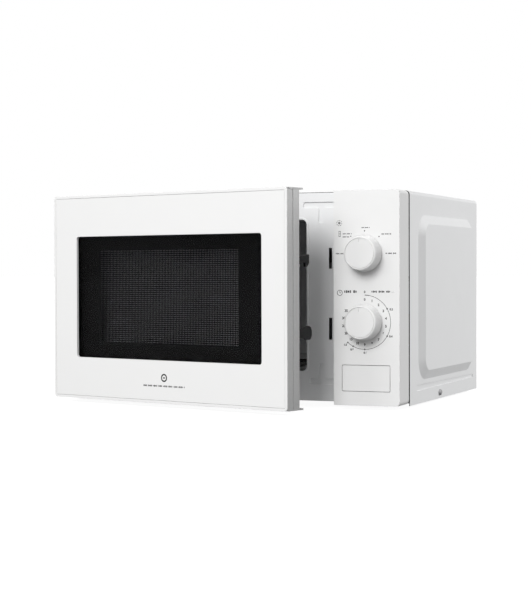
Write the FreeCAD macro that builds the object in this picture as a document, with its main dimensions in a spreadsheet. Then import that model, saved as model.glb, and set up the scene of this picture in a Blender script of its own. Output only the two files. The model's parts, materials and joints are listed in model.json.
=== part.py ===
import FreeCAD, Part
import math
import os
import re
import Sketcher

# A countertop microwave oven, 451 mm wide, standing on its feet.
# +Z is up, the door and control panel face -Y, and +X is to the right of someone facing the oven.
# The origin is the centre of the cabinet's footprint, on the surface the feet stand on.
# The door is stored ajar: it is modelled closed, then turned about its hinge by door_rest_angle.

V = FreeCAD.Vector
doc = FreeCAD.newDocument("microwave_oven")

# ---------------------------------------------------------------- driving dimensions, in millimetres and degrees

DIMENSIONS = {
    "cabinet": {
        "half_width": 225.5, "cover_front": -132.8, "cover_rear": 172.5, "cover_low": 4, "cover_high": 257,
        "sheet": 0.8, "cover_bend": 5, "front_plane": -172.5, "side_gap": 1.0,
        "emboss_rise": 6, "emboss_front": -98, "emboss_rear": 147.5, "emboss_low": 32, "emboss_high": 229.8,
        "emboss_slope": 11, "emboss_corner": 27,
        "crease_low": 19.5, "crease_high": 26.5, "crease_depth": 1.0,
        "base_low": 7, "flange_high": 18, "foot_radius": 9, "foot_x": 190, "foot_front": -84, "foot_rear": 140,
        "screw_radius": 1.9, "screw_head": 4.25, "screw_y": -7, "screw_z": 11.5,
    },
    "cavity": {
        "frame_front": -138.5, "frame_left": -224.5, "frame_right": 148, "frame_low": 8, "frame_high": 256.1,
        "flange_depth": 18, "mouth_left": -207.5, "mouth_right": 98.9, "mouth_low": 43.2, "mouth_high": 224.4,
        "mouth_corner": 6, "cavity_low": 34, "cavity_high": 230, "cavity_rear": 150,
        "slot_left": 126.9, "slot_right": 131, "upper_slot_low": 165.6, "upper_slot_high": 190.3,
        "lower_slot_low": 81, "lower_slot_high": 107,
        "pressing_low": 238.2, "pressing_high": 245.1, "pressing_left": 94.5,
        "stem_left": 114.1, "stem_right": 121.1, "stem_low": 220.5,
        "guide_low": 140, "guide_high": 222, "guide_front": -30, "guide_rear": 60, "guide_right": 139,
    },
    "turntable": {
        "spin_x": -54.3, "spin_y": 6, "tray_radius": 127.5, "tray_low": 46.7, "tray_thick": 4, "rim_high": 52.2,
        "roller_radius": 6.25, "roller_at": 98, "roller_width": 5, "roller_z": 40.35, "pin_radius": 1.5,
        "running_gap": 0.05, "coupler_radius": 11, "motor_radius": 25, "spindle_radius": 3.4,
    },
    "panel": {
        "panel_left": 145.2, "panel_low": 6.2, "panel_high": 256.7, "panel_depth": 36, "panel_wall": 2.5,
        "knob_x": 183.3, "power_z": 183, "timer_z": 103.3, "knob_radius": 21.2, "knob_height": 18.5,
        "knob_gap": 1.6, "shaft_radius": 3, "button_left": 155.8, "button_right": 213.7, "button_low": 23.2,
        "button_high": 53, "button_gap": 0.6, "hairline": 0.5, "border": 3.2,
    },
    "door": {
        "door_rest_angle": 16.3, "door_width": 369.9, "door_low": 5.9, "door_high": 256.8, "door_depth": 30,
        "door_wall": 2, "side_recess": 0.6, "edge_thick": 1.2, "fascia_back": 1.6, "plate_back": 3.6,
        "window_left": -185.8, "window_right": 107.8, "window_low": 56.9, "window_high": 206,
        "hinge_x": -215.5, "hinge_y": -158.5, "pin_hinge": 2.5, "boss_hinge": 5, "arm_thick": 2,
        "upper_arm": 250, "lower_arm": 18, "boss_length": 11,
        "choke_left": -208, "choke_right": 119.5, "choke_low": 24, "choke_high": 238, "choke_front": 10,
        "ring_left": -168, "ring_right": 82, "ring_low": 66, "ring_high": 196,
    },
    "latch": {
        "latch_radius": 345, "hook_thick": 3, "catch_front": -120, "catch_back": -117.5, "catch_top": 172.2,
        "cheek_left": 117, "cheek_right": 133, "cheek_thick": 2.5, "cheek_rear": -84,
        "lever_y": -133, "lever_z": 68, "lever_radius": 2, "rod_z": 44,
        "plunger_radius": 1.2, "upper_plunger_z": 179.8, "middle_plunger_z": 170.8, "lower_plunger_z": 91.5,
        "upper_tip": -107.7, "lower_tip": -101.7,
    },
    "cooling and power": {
        "fan_x": 162, "fan_z": 175, "fan_radius": 45, "bracket_y": 128, "tube_y": 15, "tube_z": 185,
        "tube_radius": 18, "gland_x": 195, "gland_z": 40, "cord_radius": 3.6,
    },
}

sheet = doc.addObject("Spreadsheet::Sheet", "dims")
row = 1
for group, cells in DIMENSIONS.items():
    sheet.set(f"A{row}", group)
    row += 1
    for name, value in cells.items():
        sheet.set(f"A{row}", name)
        sheet.set(f"B{row}", str(value))
        sheet.setAlias(f"B{row}", name)
        row += 1
doc.recompute()

ALIASES = sorted((name for cells in DIMENSIONS.values() for name in cells), key=len, reverse=True)
ALIAS_WORD = re.compile(r"\b(" + "|".join(ALIASES) + r")\b")


# ---------------------------------------------------------------- small helpers that bind sizes to the sheet

def linked(formula):
    """A formula in the words of the sheet, written the way an expression refers to its cells."""
    return ALIAS_WORD.sub(lambda word: "dims." + word.group(1), str(formula))


def value(formula):
    """What a formula comes to now."""
    return float(sheet.evalExpression(str(formula)))


def ordered(*formulas):
    """The formulas with the lowest first, for a span that is mirrored from one side to the other."""
    return sorted(formulas, key=value)


def bind(thing, **formulas):
    for name, formula in formulas.items():
        thing.setExpression(name.replace("_", "."), linked(formula))
    return thing


def box(x, y, z):
    """A block between two formulas along each axis."""
    block = doc.addObject("Part::Box", "Block")
    bind(block, Length=f"({x[1]}) - ({x[0]})", Width=f"({y[1]}) - ({y[0]})", Height=f"({z[1]}) - ({z[0]})")
    return bind(block, Placement_Base_x=x[0], Placement_Base_y=y[0], Placement_Base_z=z[0])


AIMS = {
    "x": FreeCAD.Rotation(V(0, 1, 0), 90),
    "y": FreeCAD.Rotation(V(1, 0, 0), -90),
    "z": FreeCAD.Rotation(),
}


def placed(thing, axis, start, x, y, z):
    """Points a primitive along an axis and puts its foot where that axis' coordinate is start."""
    thing.Placement = FreeCAD.Placement(V(0, 0, 0), AIMS[axis])
    foot = {"x": x, "y": y, "z": z, axis: start}
    return bind(thing, Placement_Base_x=foot["x"], Placement_Base_y=foot["y"], Placement_Base_z=foot["z"])


def rod(axis, span, radius, x="0", y="0", z="0"):
    """A cylinder along an axis, between the two formulas of span."""
    thing = doc.addObject("Part::Cylinder", "Rod")
    bind(thing, Radius=radius, Height=f"({span[1]}) - ({span[0]})")
    return placed(thing, axis, span[0], x, y, z)


def cone(axis, span, radii, x="0", y="0", z="0"):
    thing = doc.addObject("Part::Cone", "Cone")
    bind(thing, Radius1=radii[0], Radius2=radii[1], Height=f"({span[1]}) - ({span[0]})")
    return placed(thing, axis, span[0], x, y, z)


def fuse(*shapes):
    if len(shapes) == 1:
        return shapes[0]
    whole = doc.addObject("Part::MultiFuse", "Whole")
    whole.Shapes = list(shapes)
    whole.Refine = True
    return whole


def cut(base, *tools):
    less = doc.addObject("Part::Cut", "Less")
    less.Base = base
    less.Tool = fuse(*tools)
    return less


def common(first, second):
    both = doc.addObject("Part::Common", "Both")
    both.Base = first
    both.Tool = second
    return both


def rounded(shape, axis, radius, chosen=None):
    """Rounds the straight edges along an axis, or those of them that chosen picks by their middle."""
    doc.recompute()
    size = value(radius)
    along = {"x": V(1, 0, 0), "y": V(0, 1, 0), "z": V(0, 0, 1)}[axis]
    edges = []
    for number, edge in enumerate(shape.Shape.Edges, start=1):
        straight = isinstance(edge.Curve, Part.Line)
        if straight and abs(edge.tangentAt(edge.FirstParameter).dot(along)) > 0.999:
            if chosen is None or chosen(edge.CenterOfMass):
                edges.append((number, size, size))
    fillet = doc.addObject("Part::Fillet", "Rounded")
    fillet.Base = shape
    fillet.Edges = edges
    return fillet


def held_sketch(points, parent=None):
    """A sketch with a closed outline of straight lines, each corner held at two formulas from the origin."""
    if parent is None:
        sketch = doc.addObject("Sketcher::SketchObject", "Outline")
    else:
        sketch = parent.newObject("Sketcher::SketchObject", "Outline")
    corners = [V(value(across), value(up), 0) for across, up in points]
    count = len(corners)
    for i in range(count):
        sketch.addGeometry(Part.LineSegment(corners[i], corners[(i + 1) % count]), False)
    for i in range(count):
        sketch.addConstraint(Sketcher.Constraint("Coincident", i, 2, (i + 1) % count, 1))
    for i, (across, up) in enumerate(points):
        for kind, formula in (("DistanceX", across), ("DistanceY", up)):
            number = sketch.addConstraint(Sketcher.Constraint(kind, -1, 1, i, 1, value(formula)))
            sketch.setExpression(f"Constraints[{number}]", linked(formula))
    return sketch


def attach(sketch, body, role, offset="0"):
    plane = [feature for feature in body.Origin.OriginFeatures if feature.Role == role][0]
    sketch.AttachmentSupport = [(plane, "")]
    sketch.MapMode = "FlatFace"
    sketch.setExpression("AttachmentOffset.Base.z", linked(offset))
    return sketch


def prism(points, span):
    """An outline of (y, z) corners, padded along X between the two formulas of span."""
    body = doc.addObject("PartDesign::Body", "Prism")
    sketch = attach(held_sketch(points, body), body, "YZ_Plane", span[0])
    pad = body.newObject("PartDesign::Pad", "Pad")
    pad.Profile = sketch
    pad.setExpression("Length", linked(f"({span[1]}) - ({span[0]})"))
    body.Tip = pad
    return body


def turned(points, axis, x="0", y="0", z="0"):
    """An outline of (radius, height) corners, turned about its height line and pointed along an axis."""
    body = doc.addObject("PartDesign::Body", "Turned")
    sketch = attach(held_sketch(points, body), body, "XZ_Plane")
    spin = body.newObject("PartDesign::Revolution", "Spin")
    spin.Profile = sketch
    spin.ReferenceAxis = (sketch, ["V_Axis"])
    spin.Angle = 360
    body.Tip = spin
    body.Placement = FreeCAD.Placement(V(0, 0, 0), AIMS[axis])
    return bind(body, Placement_Base_x=x, Placement_Base_y=y, Placement_Base_z=z)


def rounded_rectangle(left, right, low, high, radius, x):
    """A sketch of a rounded rectangle in the (y, z) plane at x."""
    sketch = doc.addObject("Sketcher::SketchObject", "Rounded_outline")
    a, b, c, d, r = (value(formula) for formula in (left, right, low, high, radius))
    lines = [
        (V(a + r, c, 0), V(b - r, c, 0)), (V(b, c + r, 0), V(b, d - r, 0)),
        (V(b - r, d, 0), V(a + r, d, 0)), (V(a, d - r, 0), V(a, c + r, 0)),
    ]
    for start, end in lines:
        sketch.addGeometry(Part.LineSegment(start, end), False)
    centres = [(b - r, c + r), (b - r, d - r), (a + r, d - r), (a + r, c + r)]
    for quarter, (across, up) in enumerate(centres):
        begin = math.radians(90 * quarter - 90)
        circle = Part.Circle(V(across, up, 0), V(0, 0, 1), r)
        sketch.addGeometry(Part.ArcOfCircle(circle, begin, begin + math.pi / 2), False)
    for i in range(4):
        sketch.addConstraint(Sketcher.Constraint("Tangent", i, 2, 4 + i, 1))
        sketch.addConstraint(Sketcher.Constraint("Tangent", 4 + i, 2, (i + 1) % 4, 1))
        sketch.addConstraint(Sketcher.Constraint("Horizontal" if i % 2 == 0 else "Vertical", i))
    for i in range(1, 4):
        sketch.addConstraint(Sketcher.Constraint("Equal", 4, 4 + i))
    number = sketch.addConstraint(Sketcher.Constraint("Radius", 4, r))
    sketch.setExpression(f"Constraints[{number}]", linked(radius))
    for line, kind, formula in ((3, "DistanceX", left), (1, "DistanceX", right),
                                (0, "DistanceY", low), (2, "DistanceY", high)):
        number = sketch.addConstraint(Sketcher.Constraint(kind, -1, 1, line, 1, value(formula)))
        sketch.setExpression(f"Constraints[{number}]", linked(formula))
    sketch.Placement = FreeCAD.Placement(V(0, 0, 0), FreeCAD.Rotation(V(1, 1, 1), 120))
    return bind(sketch, Placement_Base_x=x)


def loft(*sketches):
    solid = doc.addObject("Part::Loft", "Loft")
    solid.Sections = list(sketches)
    solid.Solid = True
    solid.Ruled = True
    return solid


nodes = []


def node(name, shape):
    """Names a finished sub-part: its Label is also its file's name."""
    shape.Label = name
    nodes.append(shape)
    return shape


def door_node(name, shape):
    """A sub-part of the door, swung ajar about the hinge."""
    shape.Placement = FreeCAD.Placement(V(0, 0, 0), FreeCAD.Rotation(V(0, 0, -1), 1))
    swing = "door_rest_angle * 1deg"
    bind(shape, Placement_Rotation_Angle=swing,
         Placement_Base_x=f"hinge_x - hinge_x * cos({swing}) - hinge_y * sin({swing})",
         Placement_Base_y=f"hinge_y + hinge_x * sin({swing}) - hinge_y * cos({swing})")
    return node(name, shape)


# ---------------------------------------------------------------- cabinet

def side_emboss(side, inward):
    """The raised field pressed into a side of the cover, as a solid; inward shifts it by the sheet."""
    foot = f"{side} * (half_width - {inward})"
    crown = f"{side} * (half_width + emboss_rise - {inward})"
    outer = rounded_rectangle("emboss_front", "emboss_rear", "emboss_low", "emboss_high", "emboss_corner", foot)
    inner = rounded_rectangle("emboss_front + emboss_slope", "emboss_rear - emboss_slope",
                              "emboss_low + emboss_slope", "emboss_high - emboss_slope",
                              "emboss_corner - emboss_slope", crown)
    return loft(outer, inner)


def near_top(point):
    return point.z > value("cover_high") - 10


def outer_cover():
    outside = rounded(box(("-half_width", "half_width"), ("cover_front", "cover_rear"),
                          ("cover_low", "cover_high")), "y", "cover_bend", near_top)
    inside = rounded(box(("-half_width + sheet", "half_width - sheet"), ("cover_front - 1", "cover_rear + 1"),
                         ("cover_low - 1", "cover_high - sheet")), "y", "cover_bend - sheet", near_top)
    shell = cut(fuse(outside, side_emboss(1, "0"), side_emboss(-1, "0")),
                inside, side_emboss(1, "sheet"), side_emboss(-1, "sheet"))
    backing = []
    creases = []
    crease_front = "cover_front + 30"
    crease_rear = "cover_rear - 21"
    for side in (1, -1):
        inner = ordered(f"{side} * (half_width - sheet - crease_depth)", f"{side} * (half_width - sheet)")
        outer = ordered(f"{side} * (half_width - crease_depth)", f"{side} * (half_width + 1)")
        backing.append(prism([(f"{crease_front} - 2", "crease_low - 1"), (f"{crease_rear} + 2", "crease_low"),
                              (f"{crease_rear} + 2", "crease_high"), (f"{crease_front} - 2", "crease_high + 1")],
                             inner))
        creases.append(prism([(crease_front, "crease_low"), (crease_rear, "crease_low + 1.5"),
                              (crease_rear, "crease_high - 1.5"), (crease_front, "crease_high")], outer))
    holes = rod("x", ("-half_width - 2", "half_width + 2"), "screw_radius", y="screw_y", z="screw_z")
    return node("outer_cover", cut(fuse(shell, *backing), *creases, holes))


def grid(x, y, z, steps, count):
    """Copies of one small block, repeated count times by a step along each axis."""
    blocks = []
    for i in range(count[0]):
        for j in range(count[1]):
            shift = [f" + {i * steps[0][k] + j * steps[1][k]}" for k in range(3)]
            blocks.append(box(*[[str(end) + shift[k] for end in span] for k, span in enumerate((x, y, z))]))
    return blocks


def base_plate():
    plate = box(("frame_left", "-frame_left"), ("cover_front + 1", "cover_rear - side_gap"),
                ("base_low", "base_low + sheet"))
    flanges = [box(ordered(f"{side} * (half_width - side_gap - sheet)", f"{side} * (half_width - side_gap)"),
                   ("frame_front + flange_depth + 2", "cover_rear - side_gap"), ("base_low", "flange_high"))
               for side in (1, -1)]
    through = ("base_low - 1", "base_low + 2")
    vents = grid((120, 124), (-80, -50), through, ((10, 0, 0), (0, 130, 0)), (6, 2))
    opening = rod("z", through, "motor_radius + 5", x="spin_x", y="spin_y")
    screws = rod("x", ("-half_width - 2", "half_width + 2"), "screw_radius", y="screw_y", z="screw_z")
    stems = [rod("z", through, "foot_radius / 3", x=f"{side} * foot_x", y=y)
             for side in (1, -1) for y in ("foot_front", "foot_rear")]
    return node("base_plate", cut(fuse(plate, *flanges), opening, screws, *vents, *stems))


def feet():
    pads = []
    for side in (1, -1):
        for y in ("foot_front", "foot_rear"):
            pads.append(cone("z", ("0", "base_low"), ("foot_radius - 1.5", "foot_radius"),
                             x=f"{side} * foot_x", y=y))
            pads.append(rod("z", ("base_low - 1", "base_low + sheet + 1.5"), "foot_radius / 3",
                            x=f"{side} * foot_x", y=y))
    return node("feet", fuse(*pads))


def back_panel():
    plate = rounded(box(("frame_left", "-frame_left"), ("cover_rear - sheet", "cover_rear"),
                        ("frame_low", "cover_high - 1")), "y", "cover_bend", near_top)
    span = ("cover_rear - 2", "cover_rear + 1")
    intake = grid((125, 129), span, (135, 215), ((8, 0, 0), (0, 0, 0)), (10, 1))
    exhaust = grid((-205, -175), span, (150, 154), ((0, 0, 9), (42, 0, 0)), (7, 3))
    outlet = rod("y", span, "9", x="gland_x", z="gland_z")
    screws = [rod("y", span, "screw_radius", x=f"{side} * 212", z=z)
              for side in (1, -1) for z in ("20", "244")]
    return node("back_panel", cut(plate, outlet, *intake, *exhaust, *screws))


def case_screws():
    """Pan-head screws: one low on each side and four in the back panel."""
    screws = []
    for side in (1, -1):
        reach = ordered(f"{side} * (half_width - 8)", f"{side} * half_width")
        screws.append(rod("x", reach, "screw_radius", y="screw_y", z="screw_z"))
        head = ordered(f"{side} * half_width", f"{side} * (half_width + 2.6)")
        radii = ("screw_head", "screw_head - 1.2") if side == 1 else ("screw_head - 1.2", "screw_head")
        screws.append(cone("x", head, radii, y="screw_y", z="screw_z"))
        for z in ("20", "244"):
            screws.append(rod("y", ("cover_rear - 9", "cover_rear"), "screw_radius", x=f"{side} * 212", z=z))
            screws.append(cone("y", ("cover_rear", "cover_rear + 2.4"), ("screw_head", "screw_head - 1.2"),
                               x=f"{side} * 212", z=z))
    return node("case_screws", fuse(*screws))


# ---------------------------------------------------------------- cavity

def cavity_front_frame():
    back = "frame_front + sheet"
    plate = rounded(box(("frame_left", "frame_right"), ("frame_front", back), ("frame_low", "frame_high")),
                    "y", "cover_bend", lambda point: near_top(point) and point.x < 0)
    deep = f"{back} + flange_depth"
    flanges = [
        box(("frame_left", "frame_left + sheet"), (back, deep), ("frame_low", "frame_high - cover_bend")),
        box(("frame_left + cover_bend", "frame_right"), (back, deep), ("frame_high - sheet", "frame_high")),
        box(("frame_left", "frame_right"), (back, deep), ("frame_low", "frame_low + sheet")),
    ]

    def pressing(y, grow):
        """Two T shapes, one above the latch slots and its mirror below, each wider all round by grow."""
        left, right = f"stem_left - {grow}", f"stem_right + {grow}"
        end = f"frame_right - 4 + {grow}"
        upper = fuse(box((f"pressing_left - {grow}", end), y, (f"pressing_low - {grow}", f"pressing_high + {grow}")),
                     box((left, right), y, (f"stem_low - {grow}", "pressing_low + 1")))
        lower = fuse(box((f"mouth_right + 3 - {grow}", end), y, (f"27.5 - {grow}", f"34.4 + {grow}")),
                     box((left, right), y, ("33.4", f"52.1 + {grow}")))
        return [rounded(shape, "y", f"2.5 + {grow} / 2") for shape in (upper, lower)]

    pads = pressing((back, f"{back} + 2 * sheet"), 1)
    grooves = pressing(("frame_front - 1", "frame_front + 2 * sheet"), 0)
    through = ("frame_front - 2", f"{back} + 2")
    bead = rounded(box(("mouth_left - 2.2", "mouth_right + 2.2"), ("frame_front - 0.6", "frame_front + 0.2"),
                       ("mouth_low - 2.2", "mouth_high + 2.2")), "y", "mouth_corner + 2.2")
    mouth = rounded(box(("mouth_left", "mouth_right"), through, ("mouth_low", "mouth_high")),
                    "y", "mouth_corner")
    slots = [box(("slot_left", "slot_right"), through, ("upper_slot_low", "upper_slot_high")),
             box(("slot_left", "slot_right"), through, ("lower_slot_low", "lower_slot_high"))]
    arms = [box(("hinge_x - boss_hinge - 0.8", "hinge_x + boss_hinge + 0.8"), through,
                (f"{arm} - 0.1", f"{arm} + arm_thick + 0.1")) for arm in ("upper_arm", "lower_arm")]
    return node("cavity_front_frame", cut(fuse(plate, bead, *flanges, *pads), mouth, *grooves, *slots, *arms))


def cavity_shell():
    """Five spot-welded panels: floor, roof, two sides and a back, each a solid of its own."""
    left, right = ("mouth_left - sheet", "mouth_left"), ("mouth_right", "mouth_right + sheet")
    depth = ("frame_front + sheet", "cavity_rear")
    across = ("mouth_left - sheet", "mouth_right + sheet")
    whole_depth = (depth[0], "cavity_rear + sheet")
    spindle = rod("z", ("cavity_low - 2", "cavity_low + 1"), "spindle_radius + 2.6", x="spin_x", y="spin_y")
    floor = cut(box(across, whole_depth, ("cavity_low - sheet", "cavity_low")), spindle)
    roof = box(across, whole_depth, ("cavity_high", "cavity_high + sheet"))
    back = box(across, ("cavity_rear", "cavity_rear + sheet"), ("cavity_low", "cavity_high"))
    vents = [rod("x", ("mouth_left - 2", "mouth_left + 2"), "1.5", y=f"{60 + 6 * i}", z=f"{180 + 6 * j}")
             for i in range(8) for j in range(5)]
    left_side = cut(box(left, depth, ("cavity_low", "cavity_high")), *vents)
    wall = ("mouth_right - 2", "mouth_right + 2")
    window = box(wall, ("guide_front + 8", "guide_rear - 8"), ("guide_low + 8", "guide_high - 8"))
    lamp_holes = [rod("x", wall, "1.5", y=f"{78 + 5 * i}", z=f"{172 + 5 * j}")
                  for i in range(5) for j in range(5)]
    right_side = cut(box(right, depth, ("cavity_low", "cavity_high")), window, *lamp_holes)
    panels = doc.addObject("Part::Compound", "Panels")
    panels.Links = [floor, roof, back, left_side, right_side]
    return node("cavity_shell", panels)


def waveguide():
    duct = box(("mouth_right + sheet", "guide_right"), ("guide_front", "guide_rear"),
               ("guide_low", "guide_high"))
    inside = box(("mouth_right", "guide_right - sheet"), ("guide_front + sheet", "guide_rear - sheet"),
                 ("guide_low + sheet", "guide_high - sheet"))
    hole = rod("x", ("guide_right - 2", "guide_right + 1"), "10", y="tube_y", z="tube_z")
    return node("waveguide", cut(duct, inside, hole))


def mica_cover():
    plate = box(("mouth_right - 0.6", "mouth_right"), ("guide_front", "guide_rear"),
                ("guide_low + 2", "guide_high - 2"))
    return node("mica_cover", rounded(plate, "x", "5"))


def hinge(name, arm, up):
    """A riveted hinge: a flange behind the frame, an arm through it, and a pin for the door's boss."""
    back = "frame_front + sheet"
    tongue = fuse(box(("hinge_x - boss_hinge", "hinge_x + boss_hinge"), ("hinge_y", f"{back} + 1.5"),
                      (arm, f"{arm} + arm_thick")),
                  rod("z", (arm, f"{arm} + arm_thick"), "boss_hinge", x="hinge_x", y="hinge_y"))
    if up:
        pin = (f"{arm} + arm_thick", f"{arm} + arm_thick + boss_length + 1")
        flange = (arm, f"{arm} + 16")
    else:
        pin = (f"{arm} - boss_length - 1", arm)
        flange = (f"{arm} - 14", f"{arm} + arm_thick")
    plate = box(("frame_left + sheet + 0.4", "mouth_left - sheet - 0.4"), (back, f"{back} + 1.5"), flange)
    pivot = rod("z", pin, "pin_hinge", x="hinge_x", y="hinge_y")
    return node(name, fuse(tongue, plate, pivot))


# ---------------------------------------------------------------- turntable

def turntable_motor():
    can = rod("z", ("15", "31"), "motor_radius", x="spin_x", y="spin_y")
    ears = box(("spin_x - motor_radius - 8", "spin_x + motor_radius + 8"), ("spin_y - 6", "spin_y + 6"),
               ("29.8", "31"))
    spacers = [rod("z", ("31", "cavity_low - sheet"), "3", x=f"spin_x + {side} * (motor_radius + 4)", y="spin_y")
               for side in (1, -1)]
    plug = box(("spin_x - 9", "spin_x + 9"), ("spin_y + motor_radius - 4", "spin_y + motor_radius + 9"),
               ("17", "27"))
    bore = rod("z", ("20", "40"), "spindle_radius + running_gap", x="spin_x", y="spin_y")
    return node("turntable_motor", cut(fuse(can, ears, plug, *spacers), bore))


def motor_cover():
    """The plate under the turntable motor, held by a tab and a screw."""
    disc = rod("z", ("base_low - 1", "base_low"), "motor_radius + 9", x="spin_x", y="spin_y")
    slots = grid(("spin_x - 15", "spin_x + 15"), ("spin_y - 13.5", "spin_y - 10.5"),
                 ("base_low - 2", "base_low + 1"), ((0, 8, 0), (0, 0, 0)), (4, 1))
    return node("motor_cover", cut(disc, *slots))


def drive_coupler():
    hub = rod("z", ("cavity_low + 1.5", "tray_low"), "coupler_radius", x="spin_x", y="spin_y")
    spindle = rod("z", ("20.5", "cavity_low + 2"), "spindle_radius", x="spin_x", y="spin_y")
    flutes = []
    for i in range(3):
        angle = math.radians(120 * i)
        flutes.append(rod("z", ("tray_low - 5", "tray_low + 1"), "2.6",
                          x=f"spin_x + coupler_radius * {math.cos(angle):.6f}",
                          y=f"spin_y + coupler_radius * {math.sin(angle):.6f}"))
    return node("drive_coupler", cut(fuse(hub, spindle), *flutes))


def glass_tray():
    """A pressed glass plate: flat middle, rising rim, and a rounded lip."""
    dish = turned([("0", "0"), ("tray_radius - 14", "0"), ("tray_radius - 3", "1.2"), ("tray_radius", "2.6"),
                   ("tray_radius", "4.6"), ("tray_radius - 1.2", "rim_high - tray_low"),
                   ("tray_radius - 3.4", "rim_high - tray_low"), ("tray_radius - 14", "tray_thick"),
                   ("0", "tray_thick")], "z", "spin_x", "spin_y", "tray_low")
    return node("glass_tray", dish)


def roller_ring():
    """A hub around the coupler, three arms, a ring that stiffens them, and a pin at the end of each arm."""
    low, high = "roller_z - 2", "roller_z + 2"
    hub = cut(rod("z", (low, high), "coupler_radius + 9", x="spin_x", y="spin_y"),
              rod("z", (f"{low} - 1", f"{high} + 1"), "coupler_radius + 3", x="spin_x", y="spin_y"))
    hoop = cut(rod("z", (low, high), "roller_at - 8", x="spin_x", y="spin_y"),
               rod("z", (f"{low} - 1", f"{high} + 1"), "roller_at - 14", x="spin_x", y="spin_y"))
    parts = [hub, hoop]
    for i in range(3):
        arm = box(("coupler_radius + 6", "roller_at - roller_width / 2 - 1"), ("-4", "4"), (low, high))
        tip = "roller_at + roller_width / 2"
        pin = rod("x", ("roller_at - roller_width / 2 - 2", f"{tip} + 1.2"), "pin_radius", z="roller_z")
        head = rod("x", (f"{tip} + 0.4", f"{tip} + 1.6"), "pin_radius + 1", z="roller_z")
        parts.append(spread(fuse(arm, pin, head), i))
    return node("roller_ring", fuse(*parts))


def spread(shape, i):
    """Turns a piece drawn along +X from the turntable's axis to its place, one third of a turn each."""
    shape.Placement = FreeCAD.Placement(V(0, 0, 0), FreeCAD.Rotation(V(0, 0, 1), 30 + 120 * i))
    return bind(shape, Placement_Base_x="spin_x", Placement_Base_y="spin_y")


def roller(i):
    inner, outer = "roller_at - roller_width / 2", "roller_at + roller_width / 2"
    wheel = cut(rod("x", (inner, outer), "roller_radius", z="roller_z"),
                rod("x", (f"{inner} - 1", f"{outer} + 1"), "pin_radius + running_gap", z="roller_z"),
                cut(rod("x", (f"{inner} - 1", f"{inner} + 0.8"), "roller_radius - 1.2", z="roller_z"),
                    rod("x", (f"{inner} - 1", f"{inner} + 1"), "pin_radius + 1", z="roller_z")))
    return node(f"roller_{i + 1}", spread(wheel, i))


# ---------------------------------------------------------------- control panel

def control_panel():
    front, rear = "front_plane", "front_plane + panel_depth"
    outside = rounded(box(("panel_left", "half_width"), (front, rear), ("panel_low", "panel_high")), "y", "5",
                      lambda point: point.x > value("half_width") - 1)
    inside = box(("panel_left + panel_wall", "half_width - panel_wall"),
                 (f"{front} + panel_wall", f"{rear} + 1"),
                 ("panel_low + panel_wall", "panel_high - panel_wall"))
    step = box(("panel_left - 1", "frame_right + 0.3"), ("frame_front", f"{rear} + 1"),
               ("panel_low - 1", "panel_high + 1"))
    collars = []
    holes = []
    for z in ("power_z", "timer_z"):
        holes.append(rod("y", (f"{front} - 1", f"{front} + 8"), "shaft_radius + 1.2", x="knob_x", z=z))
        collars.append(rod("y", (f"{front} + 1", f"{front} + 5"), "shaft_radius + 4", x="knob_x", z=z))
    gap = "button_gap"
    opening = rounded(box((f"button_left - {gap}", f"button_right + {gap}"), (f"{front} - 1", f"{front} + 9"),
                          (f"button_low - {gap}", f"button_high + {gap}")), "y", "1.6")
    sleeve = box((f"button_left - {gap} - 1.6", f"button_right + {gap} + 1.6"),
                 (f"{front} + 1", f"{front} + 7"), (f"button_low - {gap} - 1.6", f"button_high + {gap} + 1.6"))
    bridge = box(("panel_left + 1", "half_width - 1"), (f"{rear} - 12", f"{rear} - 9.5"), ("28", "50"))
    spring_seat = cut(bridge, rod("y", (f"{rear} - 14", f"{rear} - 8"), "4", x="button_left + 5.2", z="rod_z"))
    shell = fuse(cut(outside, inside, step), *collars, sleeve)
    return node("control_panel", fuse(cut(shell, opening, *holes), spring_seat))


def timer_power_unit():
    """Power selector above the mechanical timer on one steel plate, each with a bore for its shaft."""
    front = "front_plane + 6"
    plate = box(("knob_x - 27", "knob_x + 27"), (front, f"{front} + 1.2"), ("timer_z - 22", "power_z + 22"))
    timer = rounded(box(("knob_x - 24", "knob_x + 24"), (f"{front} + 1", "-126"),
                        ("timer_z - 19", "timer_z + 25")), "y", "3")
    selector = rounded(box(("knob_x - 22", "knob_x + 22"), (f"{front} + 1", "-138"),
                           ("power_z - 24", "power_z + 18")), "y", "3")
    terminals = [box((f"knob_x - {16 - 8 * i}", f"knob_x - {12 - 8 * i}"), ("-139", "-131"),
                     ("power_z - 6", "power_z - 5.2")) for i in range(4)]
    bores = [rod("y", (f"{front} - 1", "-147"), "shaft_radius + running_gap", x="knob_x", z=z)
             for z in ("power_z", "timer_z")]
    return node("timer_power_unit", cut(fuse(plate, timer, selector, *terminals), *bores))


def timer_bell():
    dome = turned([("0", "0"), ("15", "0"), ("14", "5"), ("10.5", "8.2"), ("0", "9.4")],
                  "y", "knob_x", "-124", "timer_z")
    post = rod("y", ("-126", "-123"), "2.5", x="knob_x", z="timer_z")
    return node("timer_bell", fuse(dome, post))


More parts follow.
